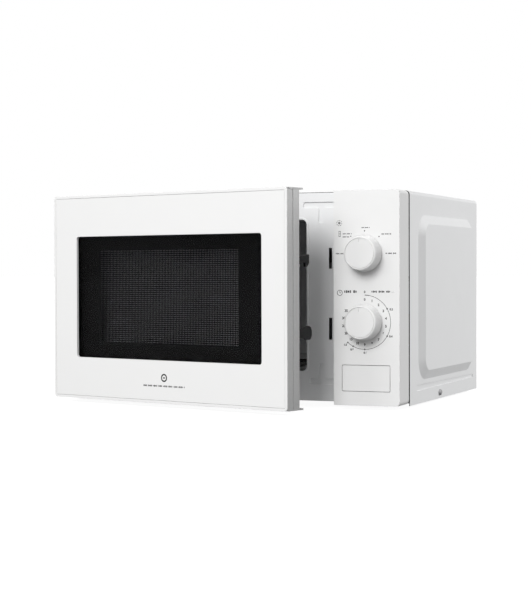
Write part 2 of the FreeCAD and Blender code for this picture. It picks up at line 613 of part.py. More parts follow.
def knob(name, z):
    """A turned knob: sloping skirt, rounded shoulder, inset ring, pointer notch, and a hollow back."""
    top = "knob_height"
    body = turned([("shaft_radius", "knob_gap"), ("6", "knob_gap"), ("6", f"{top} - 4"), ("17", f"{top} - 4"),
                   ("19", "knob_gap"), ("knob_radius", "knob_gap"), ("knob_radius", "knob_gap + 1.8"),
                   ("19.8", f"{top} - 2.6"), ("19.4", f"{top} - 1"), ("18.7", f"{top} - 0.2"), ("18.2", top),
                   ("17.9", top), ("17.9", f"{top} - 1"), ("16.9", f"{top} - 1"), ("16.9", top), ("0", top),
                   ("0", f"{top} - 2.2"), ("shaft_radius", f"{top} - 2.2")], "y")
    body.Placement = FreeCAD.Placement(V(0, 0, 0), FreeCAD.Rotation(V(1, 0, 0), 90))
    bind(body, Placement_Base_x="knob_x", Placement_Base_y="front_plane", Placement_Base_z=z)
    notch = box(("knob_x - 1.2", "knob_x + 1.2"), (f"front_plane - {top} - 1", f"front_plane - {top} + 1.1"),
                (f"{z} + 12.6", f"{z} + 17.4"))
    return node(name, cut(body, notch))


def knob_shaft(name, z):
    shaft = rod("y", ("front_plane - knob_height + 2.2", "-148"), "shaft_radius", x="knob_x", z=z)
    return node(name, shaft)


def release_button():
    """A wide key with a skirt, and a rod that runs back to the release lever."""
    front = "front_plane"
    cap = rounded(box(("button_left", "button_right"), (front, f"{front} + 18"), ("button_low", "button_high")),
                  "y", "1.2")
    hollow = box(("button_left + 2", "button_right - 2"), (f"{front} + 3", f"{front} + 19"),
                 ("button_low + 2", "button_high - 2"))
    stem = rod("y", (f"{front} + 2", "lever_y - lever_radius - 0.5"), "2", x="button_left + 5.2", z="rod_z")
    ribs = box(("button_left + 1", "button_left + 9"), (f"{front} + 2", f"{front} + 10"),
               ("rod_z - 0.8", "rod_z + 0.8"))
    return node("release_button", fuse(cut(cap, hollow), stem, ribs))


def tube(axis, span, outer, inner, **centre):
    """A plain tube between the two formulas of span."""
    return cut(rod(axis, span, outer, **centre), rod(axis, (f"{span[0]} - 1", f"{span[1]} + 1"), inner, **centre))


def button_spring():
    span = ("front_plane + 10.5", "front_plane + panel_depth - 12.2")
    return node("button_spring", tube("y", span, "3.1", "2.3", x="button_left + 5.2", z="rod_z"))


# ---------------------------------------------------------------- latch

def latch_board():
    """Two cheeks behind the frame's slots, joined by the catch wall that the upper hook drops behind."""
    front = "frame_front + sheet"
    left = ("cheek_left", "cheek_left + cheek_thick")
    right = ("cheek_right", "cheek_right + cheek_thick")
    cheeks = [box(span, (front, "cheek_rear"), ("58", "200")) for span in (left, right)]
    between = ("cheek_left + 1", "cheek_right + 1")
    catch = prism([("catch_front", "catch_top - 12"), ("catch_back", "catch_top - 12"), ("catch_back", "catch_top"),
                   ("catch_front + 0.4", "catch_top"), ("catch_front", "catch_top - 0.8")], between)
    spine = box(between, ("-90", "cheek_rear"), ("102", "162"))
    foot = box(("cheek_left", "frame_right - 1"), (front, f"{front} + 2.5"), ("110", "155"))
    bore = rod("x", ("cheek_left - 1", "cheek_right + 5"), "lever_radius + running_gap",
               y="lever_y", z="lever_z")
    return node("latch_board", cut(fuse(*cheeks, catch, spine, foot), bore))


SWITCHES = (("upper_tip", "upper_plunger_z"), ("upper_tip", "middle_plunger_z"), ("lower_tip", "lower_plunger_z"))


def interlock_switches():
    """Three snap switches between the cheeks, each with a blind bore for its plunger."""
    cases = []
    bores = []
    for tip, z in SWITCHES:
        cases.append(box(("cheek_left + cheek_thick", "cheek_right"), (f"{tip} + 3", f"{tip} + 19"),
                         (f"{z} - 4.2", f"{z} + 4.2")))
        cases.append(box(("125.4", "126.2"), (f"{tip} + 18", f"{tip} + 24"), (f"{z} - 2.4", f"{z} + 2.4")))
        bores.append(rod("y", (f"{tip} + 2", f"{tip} + 10"), "plunger_radius + running_gap", x="125.6", z=z))
    return node("interlock_switches", cut(fuse(*cases), *bores))


def plunger(name, tip, z):
    return node(name, rod("y", (tip, f"{tip} + 8"), "plunger_radius", x="125.6", z=z))


def release_lever():
    """A bell crank: a shaft in the cheeks, an arm down to the button's rod, and one reaching under the hook."""
    axis = {"y": "lever_y", "z": "lever_z"}
    shaft = rod("x", ("cheek_left - 1", "button_left + 9"), "lever_radius", **axis)
    hub = rod("x", ("cheek_left + cheek_thick + 0.3", "cheek_right - 0.3"), "lever_radius + 2", **axis)
    reach = prism([("lever_y", "lever_z - 3"), ("lever_y + 27", "lever_z + 11.6"), ("lever_y + 28", "83.2"),
                   ("lever_y + 20", "83.2"), ("lever_y", "lever_z + 3.5")],
                  ("cheek_left + 4.5", "cheek_right - 1.5"))
    hanger = prism([("lever_y - lever_radius", "rod_z - 4"), ("lever_y + lever_radius", "rod_z - 4"),
                    ("lever_y + lever_radius", "lever_z"), ("lever_y - lever_radius", "lever_z")],
                   ("button_left + 1.5", "button_left + 9"))
    return node("release_lever", fuse(shaft, hub, reach, hanger))


def hook_outline(*corners):
    """Corners of a hook as (depth behind the door's face, height), turned into the sheet's words."""
    return [(f"front_plane + {depth}", str(height)) for depth, height in corners]


def latch_hooks():
    """One moulding, curved about the door's hinge so that both hooks pass straight through the frame's slots."""
    across = ("115", "140")
    bar = prism(hook_outline((17, 78), (27, 78), (27, 188), (17, 188)), across)
    upper = prism(hook_outline((22, 172.5), (55.5, 172.5), (55.5, 167.8), (60, 167.8), (64.5, 172), (64.5, 181),
                               (62.5, 182.3), (57, 181.6), (22, 176)), across)
    lower = prism(hook_outline((22, 86), (54, 85.4), (58, 83.5), (66.5, 83.5), (69.3, 86), (70.5, 89), (70.5, 94),
                               (68.5, 98), (64.5, 99.5), (58, 98.6), (22, 93)), across)
    ring = tube("z", ("70", "195"), "latch_radius + hook_thick / 2", "latch_radius - hook_thick / 2",
                x="hinge_x", y="hinge_y")
    wing = box(("latch_radius + hinge_x + 1", "latch_radius + hinge_x + 6.4"),
               ("front_plane + 18", "front_plane + 26"), ("127", "129.5"))
    return door_node("latch_hooks", fuse(common(fuse(bar, upper, lower), ring), wing))


# ---------------------------------------------------------------- door

def door_frame():
    """The white face frame: a raised border, a window opening, and ribs behind it that guide the latch."""
    front, plate_back = "front_plane", "front_plane + plate_back"
    left, right = "-half_width", "door_width - half_width"
    slab = rounded(box((left, right), (front, plate_back), ("door_low", "door_high")), "y", "4")
    recess = rounded(box((f"{left} + border", f"{right} - border"), (f"{front} - 1", f"{front} + fascia_back"),
                         ("door_low + border", "door_high - border")), "y", "1.2")
    window = rounded(box(("window_left", "window_right"), (f"{front} - 1", f"{plate_back} + 1"),
                         ("window_low", "window_high")), "y", "3.5")
    pan_edge = box((f"{right} - side_recess - door_wall - 0.1", f"{right} + 1"),
                   (f"{front} + edge_thick", f"{plate_back} + 1"), ("door_low - 1", "door_high + 1"))
    inner = "hinge_x + latch_radius - hook_thick / 2 - 0.8"
    outer = "hinge_x + latch_radius + hook_thick / 2 + 0.5"
    guides = []
    for z in (("98", "116"), ("174", "186")):
        guides.append(box((f"{inner} - 2", inner), (f"{front} + 3", f"{front} + 26"), z))
        guides.append(box((outer, f"{outer} + 2"), (f"{front} + 3", f"{front} + 26"), z))
    return door_node("door_frame", fuse(cut(slab, recess, window, pan_edge), *guides))


def door_shell():
    """The grey steel pan behind the face frame: deep lips top and bottom, a stepped wall at the latch."""
    face, back = "front_plane + plate_back", "front_plane + door_depth"
    left, right = "-half_width", "door_width - half_width"
    wall = "door_wall"
    side = f"{right} - side_recess"
    walls = [
        box((f"{left} + 4", right), (face, back), (f"door_high - {wall}", "door_high")),
        box((f"{left} + 4", right), (face, back), ("door_low", f"door_low + {wall}")),
        cut(rounded(box((left, f"{left} + 6"), (face, back), ("door_low", "door_high")), "y", "4",
                    lambda point: point.x < value("-half_width") + 1),
            box((f"{left} + {wall}", f"{left} + 7"), (f"{face} - 1", f"{back} + 1"),
                (f"door_low + {wall}", f"door_high - {wall}"))),
        box((f"{side} - {wall}", side), ("front_plane + edge_thick", f"{back} - 7"),
            ("door_low + 0.4", "door_high - 0.4")),
        box((f"{side} - {wall}", f"{right} - 0.1"), (f"{face} + 8.5", f"{back} - 7"),
            ("door_low + 0.4", "door_high - 0.4")),
    ]
    notches = [box((f"{left} - 1", f"{left} + {wall} + 1"), ("front_plane + 6.5", f"{back} + 1"),
                   (f"{arm} - 1", f"{arm} + 3")) for arm in ("upper_arm", "lower_arm")]
    bosses = []
    bores = []
    for span in (("upper_arm - 1 - boss_length", "upper_arm - 1"),
                 ("lower_arm + arm_thick + 1", "lower_arm + arm_thick + 1 + boss_length")):
        bosses.append(rod("z", span, "boss_hinge", x="hinge_x", y="hinge_y"))
        bosses.append(box((f"{left} + 1", "hinge_x + boss_hinge"), (face, "hinge_y"), span))
        bores.append(rod("z", (f"{span[0]} - 1", f"{span[1]} + 1"), "pin_hinge + running_gap",
                         x="hinge_x", y="hinge_y"))
    spring_post = box(("hinge_x + latch_radius + 2.2", f"{side} - 1"), ("front_plane + 18", "front_plane + 26"),
                      ("168", "170"))
    return door_node("door_shell", cut(fuse(cut(fuse(*walls), *notches), *bosses, spring_post), *bores))


def door_fascia():
    gap = "hairline / 2"
    left, right = "-half_width + border", "door_width - half_width - border"
    plate = rounded(box((f"{left} + {gap}", f"{right} - {gap}"),
                        ("front_plane + 0.1", "front_plane + fascia_back"),
                        (f"door_low + border + {gap}", f"door_high - border - {gap}")), "y", "1.0")
    window = rounded(box(("window_left", "window_right"), ("front_plane - 1", "front_plane + 3"),
                         ("window_low", "window_high")), "y", "3.5")
    return door_node("door_fascia", cut(plate, window))


def door_window():
    pane = box(("window_left - 9", "window_right + 9"),
               ("front_plane + plate_back", "front_plane + plate_back + 3"),
               ("window_low - 9", "window_high + 9"))
    return door_node("door_window", rounded(pane, "y", "3"))


def door_screen():
    """The steel sheet behind the pane: a flat field with a folded rim that stiffens it."""
    y = ("front_plane + 13.6", "front_plane + 14.4")
    x, z = ("window_left - 10", "window_right + 10"), ("window_low - 11", "window_high + 11")
    field = box(x, y, z)
    rim = cut(box(x, ("front_plane + 14", "front_plane + 20"), z),
              box((f"{x[0]} + sheet", f"{x[1]} - sheet"), ("front_plane + 13", "front_plane + 21"),
                  (f"{z[0]} + sheet", f"{z[1]} - sheet")))
    return door_node("door_screen", fuse(field, rim))


def choke_frame():
    """The folded steel channel around the screen that keeps the microwaves in."""
    outer_x, outer_z = ("choke_left", "choke_right"), ("choke_low", "choke_high")
    front = "front_plane + choke_front"
    face = box(outer_x, (front, f"{front} + sheet"), outer_z)
    skirt = cut(box(outer_x, (front, f"{front} + 16"), outer_z),
                box(("choke_left + sheet", "choke_right - sheet"), (f"{front} - 1", f"{front} + 17"),
                    ("choke_low + sheet", "choke_high - sheet")))
    opening = box(("window_left - 11", "window_right + 11"), (f"{front} - 1", f"{front} + 2"),
                  ("window_low - 12", "window_high + 12"))
    return door_node("choke_frame", fuse(cut(face, opening), skirt))


def choke_cover():
    """The black plastic ring that closes the channel and faces the cavity's frame."""
    back = "front_plane + door_depth"
    plate = rounded(box(("choke_left + 2", "choke_right - 1.1"), (f"{back} - 3", back),
                        ("choke_low + 1.6", "choke_high - 1.6")), "y", "4")
    ridge = rounded(box(("choke_left + 10", "choke_right - 7.5"), (f"{back} - 1", f"{back} + 2"),
                        ("choke_low + 9", "choke_high - 9")), "y", "4")
    opening = rounded(box(("ring_left", "ring_right"), (f"{back} - 4", f"{back} + 3"),
                          ("ring_low", "ring_high")), "y", "4")
    return door_node("choke_cover", cut(fuse(plate, ridge), opening))


def door_inner_film():
    back = "front_plane + door_depth"
    film = box(("ring_left - 4", "ring_right + 4"), (f"{back} - 3.7", f"{back} - 3.1"),
               ("ring_low - 4", "ring_high + 4"))
    return door_node("door_inner_film", rounded(film, "y", "3"))


def latch_spring():
    return door_node("latch_spring", tube("z", ("129.6", "167.9"), "1.5", "0.9",
                                          x="latch_radius + hinge_x + 4.8", y="front_plane + 22"))


# ---------------------------------------------------------------- magnetron, power supply, cooling

def magnetron_yoke():
    y, z, t = ("tube_y - 40", "tube_y + 40"), ("tube_z - 29", "tube_z + 29"), "1.5"
    left, right = "guide_right", "guide_right + 49"
    plates = [box((left, f"{left} + {t}"), y, z), box((f"{right} - {t}", right), y, z),
              box((left, right), y, (f"{z[1]} - {t}", z[1])), box((left, right), y, (z[0], f"{z[0]} + {t}"))]
    hole = rod("x", (f"{left} - 1", f"{right} + 1"), "9.5", y="tube_y", z="tube_z")
    return node("magnetron_yoke", cut(fuse(*plates), hole))


def magnetron_tube():
    axis = {"y": "tube_y", "z": "tube_z"}
    core = rod("x", ("guide_right + 1.5", "guide_right + 47.5"), "tube_radius", **axis)
    neck = rod("x", ("guide_right - 20", "guide_right + 3"), "8", **axis)
    stub = rod("x", ("guide_right + 47", "guide_right + 52"), "8", **axis)
    return node("magnetron_tube", fuse(core, neck, stub))


def magnetron_fins():
    fins = [box((f"guide_right + {7 + 4 * i}", f"guide_right + {7.6 + 4 * i}"),
                ("tube_y - 38", "tube_y + 38"), ("tube_z - 27.4", "tube_z + 27.4")) for i in range(9)]
    bore = rod("x", ("guide_right", "guide_right + 50"), "tube_radius", y="tube_y", z="tube_z")
    return node("magnetron_fins", cut(fuse(*fins), bore))


def magnetron_filter_box():
    left = "guide_right + 49"
    case = box((left, f"{left} + 26"), ("tube_y - 24", "tube_y + 24"), ("tube_z - 22", "tube_z + 22"))
    inside = box((f"{left} + sheet", f"{left} + 26 - sheet"), ("tube_y - 24 + sheet", "tube_y + 24 - sheet"),
                 ("tube_z - 22 + sheet", "tube_z + 22 - sheet"))
    entry = rod("x", (f"{left} - 1", f"{left} + 2"), "9.5", y="tube_y", z="tube_z")
    plug = box((f"{left} + 6", f"{left} + 20"), ("tube_y - 6", "tube_y + 6"), ("tube_z - 32", "tube_z - 22"))
    return node("magnetron_filter_box", fuse(cut(case, inside, entry), plug))


CORE_X, CORE_Y, CORE_Z = ("128", "208"), ("-38", "14"), ("base_low + sheet", "base_low + sheet + 62")


def transformer_core():
    block = box(CORE_X, CORE_Y, CORE_Z)
    windows = [box(span, (f"{CORE_Y[0]} - 1", f"{CORE_Y[1]} + 1"), (f"{CORE_Z[0]} + 13", f"{CORE_Z[1]} - 13"))
               for span in (("141", "156"), ("180", "195"))]
    feet_strip = box(("120", "216"), ("-20", "-4"), (CORE_Z[0], f"{CORE_Z[0]} + 1.5"))
    return node("transformer_core", fuse(cut(block, *windows), feet_strip))


def transformer_windings():
    coils = []
    for low, high in (("1", "16"), ("19", "35")):
        z = (f"{CORE_Z[0]} + 13 + {low}", f"{CORE_Z[0]} + 13 + {high}")
        outer = rounded(box(("142", "194"), ("-52", "28"), z), "z", "8")
        coils.append(cut(outer, box(("156", "180"), ("-38", "14"), (f"{z[0]} - 1", f"{z[1]} + 1"))))
    return node("transformer_windings", fuse(*coils))


def hv_capacitor():
    can = rounded(box(("126", "196"), ("44", "76"), ("base_low + sheet", "base_low + sheet + 46")), "z", "12")
    posts = [rod("z", ("base_low + sheet + 45", "base_low + sheet + 52"), "3", x=x, y="60")
             for x in ("144", "178")]
    return node("hv_capacitor", fuse(can, *posts))


def hv_diode():
    body = rod("y", ("70", "88"), "3.5", x="208", z="22")
    lead = rod("y", ("60", "98"), "0.7", x="208", z="22")
    lug = box(("204", "212"), ("92", "99"), ("base_low + sheet", "26"))
    return node("hv_diode", fuse(body, lead, lug))


def fan_bracket():
    """The air baffle behind the magnetron: a wall with a round opening, and two bars that carry the motor."""
    y = ("bracket_y", "bracket_y + sheet")
    wall = box(("mouth_right + sheet", "frame_right + 75"), y, ("fan_z - 58", "fan_z + 58"))
    foot = box(("mouth_right + sheet", "frame_right + 75"), ("bracket_y", "bracket_y + 10"),
               ("fan_z - 58", "fan_z - 58 + sheet"))
    ring = rod("y", ("bracket_y - 1", "bracket_y + 2"), "fan_radius + 4", x="fan_x", z="fan_z")
    bars = [box(("fan_x - 54", "fan_x + 54"), ("bracket_y - 2", "bracket_y"),
                (f"fan_z + {k} - 4", f"fan_z + {k} + 4")) for k in (-15, 15)]
    return node("fan_bracket", fuse(cut(wall, ring), foot, *bars))


def fan_motor():
    stack = box(("fan_x - 22", "fan_x + 22"), ("bracket_y - 24", "bracket_y - 8"), ("fan_z - 26", "fan_z + 26"))
    coil = rounded(box(("fan_x + 16", "fan_x + 40"), ("bracket_y - 30", "bracket_y - 4"),
                       ("fan_z - 13", "fan_z + 13")), "x", "4")
    posts = [rod("y", ("bracket_y - 9", "bracket_y - 2"), "3", x="fan_x", z=f"fan_z + {k}") for k in (-15, 15)]
    bore = rod("y", ("bracket_y - 22", "bracket_y + 2"), "2 + running_gap", x="fan_x", z="fan_z")
    return node("fan_motor", cut(fuse(stack, coil, *posts), bore))


def fan_blade():
    """A hub with five pitched blades, and the shaft that turns in the motor."""
    axis = {"x": "fan_x", "z": "fan_z"}
    parts = [rod("y", ("bracket_y + 4", "bracket_y + 22"), "11", **axis),
             rod("y", ("bracket_y - 20", "bracket_y + 6"), "2", **axis)]
    blades = []
    for i in range(5):
        blade = box(("8", "fan_radius + 6"), ("-0.7", "0.7"), ("-14", "14"))
        pitch = FreeCAD.Rotation(V(1, 0, 0), 62)
        swing = FreeCAD.Rotation(V(0, 1, 0), 72 * i)
        blade.Placement = FreeCAD.Placement(V(0, 0, 0), swing * pitch)
        corner = (swing * pitch).multVec(V(8, -0.7, -14))
        bind(blade, Placement_Base_x=f"fan_x + {corner.x:.6f}",
             Placement_Base_y=f"bracket_y + 13 + {corner.y:.6f}", Placement_Base_z=f"fan_z + {corner.z:.6f}")
        blades.append(blade)
    sweep = rod("y", ("bracket_y + 3.5", "bracket_y + 22.5"), "fan_radius", **axis)
    return node("fan_blade", fuse(*parts, common(fuse(*blades), sweep)))


def air_duct():
    """The plastic channel that leads the fan's air to the magnetron's fins."""
    x, z = ("guide_right + 2", "guide_right + 47"), ("tube_z - 34", "tube_z + 34")
    y = ("tube_y + 41", "bracket_y - 32")
    inside = box((f"{x[0]} + 1.5", f"{x[1]} - 1.5"), (f"{y[0]} - 1", f"{y[1]} + 1"),
                 (f"{z[0]} + 1.5", f"{z[1]} - 1.5"))
    return node("air_duct", cut(box(x, y, z), inside))


def oven_lamp():
    bulb = turned([("0", "0"), ("6", "1.6"), ("8.5", "7"), ("8.5", "13"), ("6.5", "20"), ("6.5", "22"),
                   ("0", "22")], "y", "110.5", "72", "182")
    socket = rod("y", ("93", "112"), "9", x="110.5", z="182")
    tab = box(("mouth_right + sheet", "104"), ("98", "110"), ("172", "192"))
    return node("oven_lamp", fuse(bulb, socket, tab))


def thermal_cutouts():
    discs = []
    for x, y in (("60", "100"), ("-20", "120")):
        discs.append(rod("z", ("cavity_high + sheet", "cavity_high + sheet + 5"), "8", x=x, y=y))
        discs.append(rod("z", ("cavity_high + sheet + 4", "cavity_high + sheet + 9"), "6", x=x, y=y))
        discs.append(box((f"{x} - 12", f"{x} + 12"), (f"{y} - 4", f"{y} + 4"),
                         ("cavity_high + sheet", "cavity_high + 2 * sheet")))
    return node("thermal_cutouts", fuse(*discs))


def noise_filter_board():
    board = box(("106", "168"), ("158", "159.6"), ("60", "104"))
    coil = tube("y", ("142", "158"), "11", "5", x="122", z="82")
    film = rounded(box(("138", "162"), ("147", "158"), ("72", "90")), "y", "2")
    fuse_body = rod("x", ("138", "160"), "3", y="155.2", z="96.5")
    posts = [rod("y", ("159", "cover_rear - sheet"), "2.5", x=x, z="65") for x in ("110", "164")]
    return node("noise_filter_board", fuse(board, coil, film, fuse_body, *posts))


def cord_gland():
    """The bushing that grips the supply cord where it passes through the back panel."""
    axis = {"x": "gland_x", "z": "gland_z"}
    body = fuse(rod("y", ("cover_rear", "cover_rear + 3"), "12", **axis),
                cone("y", ("cover_rear + 3", "cover_rear + 9"), ("8.5", "6.5"), **axis),
                rod("y", ("cover_rear - sheet", "cover_rear"), "9", **axis),
                rod("y", ("cover_rear - 5", "cover_rear - sheet"), "11", **axis))
    return node("cord_gland", cut(body, rod("y", ("cover_rear - 6", "cover_rear + 10"), "cord_radius", **axis)))


# ---------------------------------------------------------------- assembly

outer_cover()
base_plate()
feet()
back_panel()
case_screws()
cavity_front_frame()
cavity_shell()
waveguide()
mica_cover()
hinge("upper_hinge", "upper_arm", False)
hinge("lower_hinge", "lower_arm", True)
turntable_motor()
motor_cover()
drive_coupler()
glass_tray()
roller_ring()
for number in range(3):
    roller(number)
control_panel()
timer_power_unit()
timer_bell()
knob("power_knob", "power_z")
knob("timer_knob", "timer_z")
knob_shaft("power_shaft", "power_z")
knob_shaft("timer_shaft", "timer_z")
release_button()
button_spring()
latch_board()
interlock_switches()
for name, (tip, z) in zip(("primary_plunger", "secondary_plunger", "monitor_plunger"), SWITCHES):
    plunger(name, tip, z)
release_lever()
latch_hooks()
door_frame()
door_shell()
door_fascia()
door_window()
door_screen()
choke_frame()
choke_cover()
door_inner_film()
latch_spring()
magnetron_yoke()
magnetron_tube()
magnetron_fins()
magnetron_filter_box()
transformer_core()
transformer_windings()
hv_capacitor()
hv_diode()
fan_bracket()
fan_motor()
fan_blade()
air_duct()
oven_lamp()
thermal_cutouts()
noise_filter_board()
cord_gland()

doc.recompute()
failed = [thing.Label for thing in doc.Objects if "Invalid" in thing.State or "Error" in thing.State]
failed += [thing.Label for thing in nodes if thing.Shape.isNull() or not thing.Shape.isValid()]
if failed:
    raise SystemExit(f"these objects failed: {failed}")

os.makedirs("parts", exist_ok=True)
for thing in nodes:
    thing.Shape.exportStep(f"parts/{thing.Label}.step")
    extent = thing.Shape.BoundBox
    print(f"{thing.Label:24s} x {extent.XMin:8.2f} {extent.XMax:8.2f}  y {extent.YMin:8.2f} {extent.YMax:8.2f}",
          f" z {extent.ZMin:8.2f} {extent.ZMax:8.2f}  {len(thing.Shape.Solids)} solids",
          f" {thing.Shape.Volume / 1000:9.2f} cm3")
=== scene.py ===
import json
import math

import bmesh
import bpy
from mathutils import Matrix, Vector


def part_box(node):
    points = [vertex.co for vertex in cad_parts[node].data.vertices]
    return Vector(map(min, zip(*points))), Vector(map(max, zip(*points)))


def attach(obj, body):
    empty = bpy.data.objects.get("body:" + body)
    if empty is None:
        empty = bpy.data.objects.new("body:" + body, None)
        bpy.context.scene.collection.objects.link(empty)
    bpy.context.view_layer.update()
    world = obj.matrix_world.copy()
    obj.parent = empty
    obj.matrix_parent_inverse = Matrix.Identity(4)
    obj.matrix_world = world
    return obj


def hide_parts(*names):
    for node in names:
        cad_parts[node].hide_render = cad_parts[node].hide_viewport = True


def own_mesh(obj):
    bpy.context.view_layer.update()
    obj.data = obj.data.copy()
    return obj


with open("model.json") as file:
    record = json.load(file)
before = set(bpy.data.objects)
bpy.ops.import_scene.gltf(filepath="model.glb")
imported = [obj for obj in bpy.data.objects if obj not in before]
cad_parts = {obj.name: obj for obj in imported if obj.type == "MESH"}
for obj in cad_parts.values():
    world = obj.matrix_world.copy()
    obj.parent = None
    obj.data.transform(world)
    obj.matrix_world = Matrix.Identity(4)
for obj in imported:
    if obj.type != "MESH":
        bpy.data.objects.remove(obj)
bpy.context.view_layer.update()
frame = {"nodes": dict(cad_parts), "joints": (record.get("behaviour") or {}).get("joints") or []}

# A white countertop microwave oven with its door ajar, standing on a plain white floor.
# Lengths below are written in millimetres and turned to metres by MM.

MM = 0.001
NODES = frame["nodes"]


# ------------------------------------------------------------------ materials

# Sockets of a Mix node, which are told apart only by number.
MIX_FACTOR = 0
MIX_VALUE_A, MIX_VALUE_B, MIX_VALUE_RESULT = 2, 3, 0
MIX_COLOUR_A, MIX_COLOUR_B, MIX_COLOUR_RESULT = 6, 7, 2
GLOSSIEST = 0.02


def new_material(name):
    """A material, its node tree and its shader."""
    made = bpy.data.materials.new(name)
    made.use_nodes = True
    return made, made.node_tree, made.node_tree.nodes["Principled BSDF"]


def add(tree, kind, **settings):
    """A new node, with its inputs or its own settings given by name."""
    node = tree.nodes.new(kind)
    for key, setting in settings.items():
        if key in node.inputs:
            node.inputs[key].default_value = setting
        else:
            setattr(node, key, setting)
    return node


def shading_of(made):
    """A material's node tree, its shader, and a new node that gives the place on the surface."""
    tree = made.node_tree
    return tree, tree.nodes["Principled BSDF"], add(tree, "ShaderNodeTexCoord")


def surface(name, colour, roughness, metallic=0.0, mottle=0.02, mottle_scale=40.0, grain=900.0, bump=0.05,
            rough_spread=0.06, coat=0.0, specular=0.5):
    """Paint, plastic or bare metal: slight colour mottle, uneven gloss, and a fine grain in the bump."""
    made, tree, shader = new_material(name)
    place = add(tree, "ShaderNodeTexCoord")
    broad = add(tree, "ShaderNodeTexNoise", Scale=mottle_scale, Detail=4.0)
    fine = add(tree, "ShaderNodeTexNoise", Scale=grain, Detail=2.0)
    tint = add(tree, "ShaderNodeMix", data_type="RGBA")
    tint.inputs[MIX_COLOUR_A].default_value = [max(0.0, channel * (1 - mottle)) for channel in colour] + [1.0]
    tint.inputs[MIX_COLOUR_B].default_value = [min(1.0, channel * (1 + mottle)) for channel in colour] + [1.0]
    gloss = add(tree, "ShaderNodeMapRange")
    gloss.inputs["To Min"].default_value = max(GLOSSIEST, roughness - rough_spread)
    gloss.inputs["To Max"].default_value = roughness + rough_spread
    relief = add(tree, "ShaderNodeBump", Strength=bump, Distance=0.0004)
    link = tree.links.new
    link(place.outputs["Object"], broad.inputs["Vector"])
    link(place.outputs["Object"], fine.inputs["Vector"])
    link(broad.outputs["Fac"], tint.inputs[MIX_FACTOR])
    link(broad.outputs["Fac"], gloss.inputs["Value"])
    link(fine.outputs["Fac"], relief.inputs["Height"])
    link(tint.outputs[MIX_COLOUR_RESULT], shader.inputs["Base Color"])
    link(gloss.outputs["Result"], shader.inputs["Roughness"])
    link(relief.outputs["Normal"], shader.inputs["Normal"])
    shader.inputs["Metallic"].default_value = metallic
    shader.inputs["Coat Weight"].default_value = coat
    shader.inputs["Coat Roughness"].default_value = 0.12
    shader.inputs["Specular IOR Level"].default_value = specular
    return made


def cover_paint(name, colour, edge):
    """Textured paint with painted shade: the sheet's front edge, back to the Y that edge gives, is near-black
    for the shadow in the seam with the panel.
    """
    made = surface(name, colour, 0.5, mottle=0.012, grain=1400.0, bump=0.25)
    tree, shader, place = shading_of(made)
    painted = shader.inputs["Base Color"].links[0].from_socket
    parts = add(tree, "ShaderNodeSeparateXYZ")
    # Everything in front of this Y gets the painted seam shadow.
    in_seam_shade = add(tree, "ShaderNodeMath", operation="LESS_THAN")
    in_seam_shade.inputs[1].default_value = edge
    seam_shaded_colour = add(tree, "ShaderNodeMix", data_type="RGBA")
    # Near-black painted seam shadow on the cover's front edge.
    seam_shaded_colour.inputs[MIX_COLOUR_B].default_value = (0.02, 0.02, 0.02, 1)
    link = tree.links.new
    link(place.outputs["Object"], parts.inputs["Vector"])
    link(parts.outputs["Y"], in_seam_shade.inputs[0])
    link(in_seam_shade.outputs[0], seam_shaded_colour.inputs[MIX_FACTOR])
    link(painted, seam_shaded_colour.inputs[MIX_COLOUR_A])
    link(seam_shaded_colour.outputs[MIX_COLOUR_RESULT], shader.inputs["Base Color"])
    return made


def spangled(name, colour):
    """Galvanised sheet: faint crystalline patches that catch the light differently."""
    made = surface(name, colour, 0.36, metallic=1.0, mottle=0.03, grain=300.0, bump=0.04)
    tree, shader, place = shading_of(made)
    cells = add(tree, "ShaderNodeTexVoronoi", Scale=220.0)
    shades = add(tree, "ShaderNodeMapRange")
    shades.inputs["To Min"].default_value = 0.26
    shades.inputs["To Max"].default_value = 0.48
    link = tree.links.new
    link(place.outputs["Object"], cells.inputs["Vector"])
    link(cells.outputs["Color"], shades.inputs["Value"])
    link(shades.outputs["Result"], shader.inputs["Roughness"])
    return made


def ridged(made, pattern, strength, depth):
    """Bumps a material with a pattern in place of its grain. Returns the node that places the pattern."""
    tree, shader, place = shading_of(made)
    relief = add(tree, "ShaderNodeBump", Strength=strength, Distance=depth)
    tree.links.new(pattern.outputs["Fac"], relief.inputs["Height"])
    tree.links.new(relief.outputs["Normal"], shader.inputs["Normal"])
    return place


def brushed(name, colour, along):
    """Metal with fine drawn lines along an axis."""
    made = surface(name, colour, 0.28, metallic=1.0, mottle=0.03, grain=200.0, bump=0.02)
    tree = made.node_tree
    lines = add(tree, "ShaderNodeTexNoise", Scale=1.0, Detail=3.0)
    place = ridged(made, lines, 0.12, 0.0003)
    stretch = add(tree, "ShaderNodeMapping")
    stretch.inputs["Scale"].default_value = [4.0 if axis == along else 900.0 for axis in "xyz"]
    tree.links.new(place.outputs["Object"], stretch.inputs["Vector"])
    tree.links.new(stretch.outputs["Vector"], lines.inputs["Vector"])
    return made


def wound(name, colour):
    """Enamelled copper turns lying side by side."""
    made = surface(name, colour, 0.3, metallic=0.9, mottle=0.08, coat=0.4)
    turns = add(made.node_tree, "ShaderNodeTexWave", Scale=300.0, Distortion=0.4, bands_direction="Z")
    place = ridged(made, turns, 0.6, 0.0005)
    made.node_tree.links.new(place.outputs["Object"], turns.inputs["Vector"])
    return made


def clear(name, colour, ior=1.5):
    """Glass with faint waviness."""
    made = surface(name, colour, 0.03, mottle=0.01, rough_spread=0.01, grain=30.0, bump=0.02)
    shader = made.node_tree.nodes["Principled BSDF"]
    shader.inputs["Transmission Weight"].default_value = 1.0
    shader.inputs["IOR"].default_value = ior
    return made
